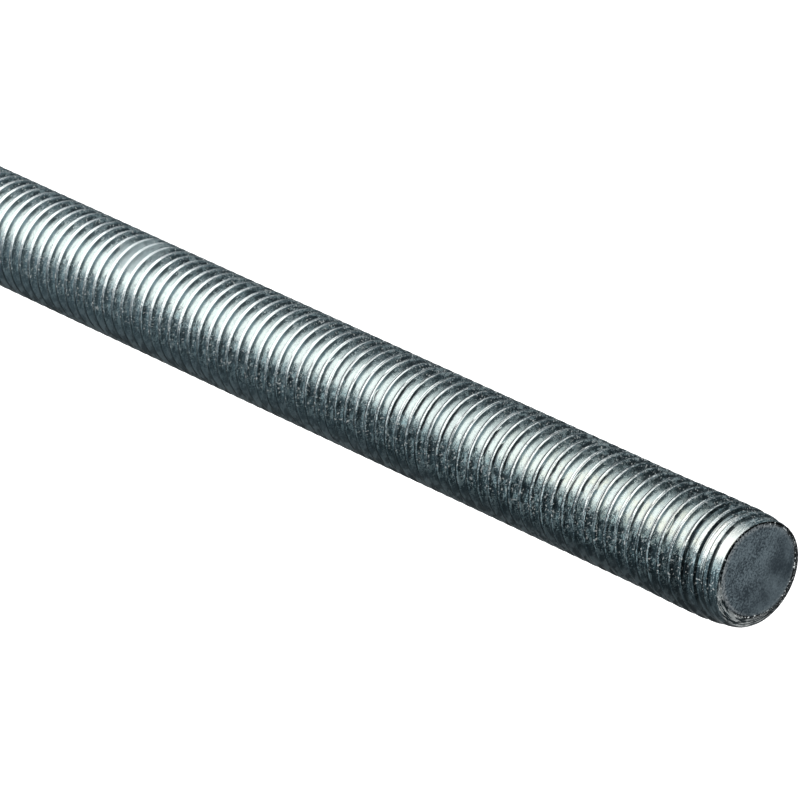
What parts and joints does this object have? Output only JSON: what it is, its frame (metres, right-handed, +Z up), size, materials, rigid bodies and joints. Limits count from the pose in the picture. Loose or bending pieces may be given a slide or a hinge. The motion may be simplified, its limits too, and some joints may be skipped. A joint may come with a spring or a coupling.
{
  "type": "threaded rod",
  "caption": "Straight steel rod with a fine V-groove thread along its whole length, zinc plated, with a small chamfer and a flat face at each end.",
  "frame": {"origin": "middle of the lower end face, which the rod stands on", "axes": "+Z up the rod's axis, from the lower end to the upper end"},
  "size_m": [0.019, 0.019, 0.3048],
  "materials": {
    "zinc_plate": "bright zinc plate, slightly blue, smooth along the thread"
  },
  "bodies": {
    "root": {"threaded_rod": "zinc_plate"}
  },
  "joints": []
}
